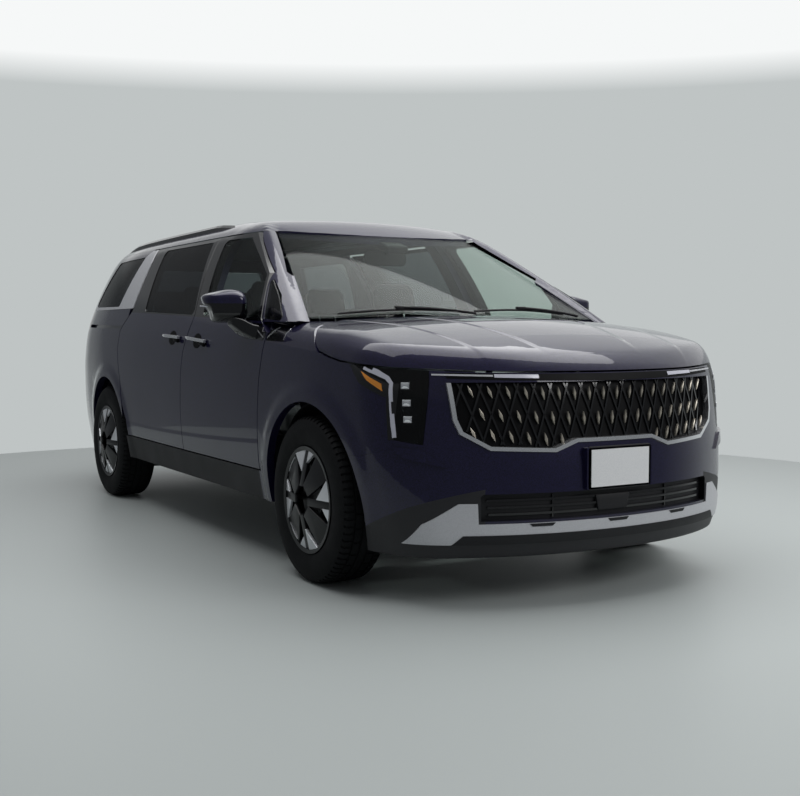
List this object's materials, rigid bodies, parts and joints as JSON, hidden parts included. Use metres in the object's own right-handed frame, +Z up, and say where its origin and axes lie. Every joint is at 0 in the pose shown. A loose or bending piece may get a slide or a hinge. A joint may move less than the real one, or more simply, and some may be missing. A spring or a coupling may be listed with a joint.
{
  "type": "minivan",
  "caption": "Full-size passenger minivan with hinged front doors, bonnet and tailgate, steered front wheels and four road wheels.",
  "frame": {"origin": "on the floor under the middle of the vehicle's length and width", "axes": "+X to the front along the length, +Y to the vehicle's left, +Z up"},
  "size_m": [5.1559, 2.3396, 1.7468],
  "materials": {
    "paint": "gloss dark navy paint",
    "black_gloss": "gloss black",
    "black_plastic": "textured black",
    "chrome": "polished",
    "silver": "satin silver",
    "rim": "black with machined faces",
    "tyre": "matt",
    "clear_glass": "green tint",
    "dark_glass": "dark tint",
    "lamp_lens": "clear lens over dark reflector",
    "red_lens": "red lens",
    "trim_dark": "soft grained",
    "cloth": "dark cloth",
    "steel": "bare",
    "aluminium_fins": "fins",
    "iron": "cast",
    "plate": "blank white"
  },
  "bodies": {
    "body": {"body_shell": "paint", "quarter_panels": "paint", "roof_panel": "paint", "floor_pan": "steel", "wings": "paint", "front_bumper": "paint", "grille": "black_gloss", "grille_frame": "chrome", "lower_grille": "black_plastic", "skid_trim": "silver", "headlamps": "lamp_lens", "windscreen": "clear_glass", "sliding_doors": "paint", "sliding_door_glass": "dark_glass", "quarter_glass": "dark_glass", "pillar_trims": "silver", "tail_lamps": "red_lens", "rear_bumper": "paint", "sill_covers": "black_plastic", "roof_rails": "black_gloss", "wheel_liners": "black_plastic", "dashboard": "trim_dark", "seats_front": "cloth", "seats_middle": "cloth", "seats_rear": "cloth", "front_subframe": "steel", "rear_axle": "steel", "engine_block": "iron", "radiator": "aluminium_fins", "exhaust": "steel", "front_plate": "plate"},
    "front_door_left": {"front_door_left": "paint", "door_glass_left": "clear_glass", "mirror_left": "black_gloss"},
    "front_door_right": {"front_door_right": "paint", "door_glass_right": "clear_glass", "mirror_right": "black_gloss"},
    "bonnet": {"bonnet": "paint"},
    "tailgate": {"tailgate": "paint", "rear_glass": "dark_glass"},
    "knuckle_left": {"knuckle_left": "iron"},
    "knuckle_right": {"knuckle_right": "iron"},
    "steering_wheel": {"steering_wheel": "trim_dark"},
    "wheel_front_left": {"rim_front_left": "rim", "tyre_front_left": "tyre"},
    "wheel_front_right": {"rim_front_right": "rim", "tyre_front_right": "tyre"},
    "wheel_rear_left": {"rim_rear_left": "rim", "tyre_rear_left": "tyre"},
    "wheel_rear_right": {"rim_rear_right": "rim", "tyre_rear_right": "tyre"}
  },
  "joints": [
    {"name": "front_door_left_hinge", "type": "hinge", "parent": "body", "child": "front_door_left", "pos_m": [1.038, 0.975, 0.8], "axis": [0, 0, -1], "range_deg": [0, 66]},
    {"name": "front_door_right_hinge", "type": "hinge", "parent": "body", "child": "front_door_right", "pos_m": [1.038, -0.975, 0.8], "axis": [0, 0, 1], "range_deg": [0, 66]},
    {"name": "bonnet_hinge", "type": "hinge", "parent": "body", "child": "bonnet", "pos_m": [1.33, 0, 1.14], "axis": [0, -1, 0], "range_deg": [0, 50]},
    {"name": "tailgate_hinge", "type": "hinge", "parent": "body", "child": "tailgate", "pos_m": [-2.276, 0, 1.69], "axis": [0, 1, 0], "range_deg": [0, 82]},
    {"name": "steer_left", "type": "hinge", "parent": "body", "child": "knuckle_left", "pos_m": [1.643, 0.79, 0.368], "axis": [0, 0, 1], "range_deg": [-33, 33]},
    {"name": "steer_right", "type": "hinge", "parent": "body", "child": "knuckle_right", "pos_m": [1.643, -0.79, 0.368], "axis": [0, 0, 1], "range_deg": [-33, 33]},
    {"name": "steering_wheel_turn", "type": "hinge", "parent": "body", "child": "steering_wheel", "pos_m": [0.885, 0.4, 0.985], "axis": [-0.9135, 0, 0.4067], "range_deg": [-468, 468]},
    {"name": "wheel_front_left_spin", "type": "hinge", "parent": "knuckle_left", "child": "wheel_front_left", "pos_m": [1.643, 0.87, 0.368], "axis": [0, 1, 0], "continuous": true},
    {"name": "wheel_front_right_spin", "type": "hinge", "parent": "knuckle_right", "child": "wheel_front_right", "pos_m": [1.643, -0.87, 0.368], "axis": [0, 1, 0], "continuous": true},
    {"name": "wheel_rear_left_spin", "type": "hinge", "parent": "body", "child": "wheel_rear_left", "pos_m": [-1.447, 0.87, 0.368], "axis": [0, 1, 0], "continuous": true},
    {"name": "wheel_rear_right_spin", "type": "hinge", "parent": "body", "child": "wheel_rear_right", "pos_m": [-1.447, -0.87, 0.368], "axis": [0, 1, 0], "continuous": true}
  ],
  "couplings": [
    {"joint": "steer_right", "follows": "steer_left", "ratio": 1},
    {"joint": "steering_wheel_turn", "follows": "steer_left", "ratio": 14}
  ]
}
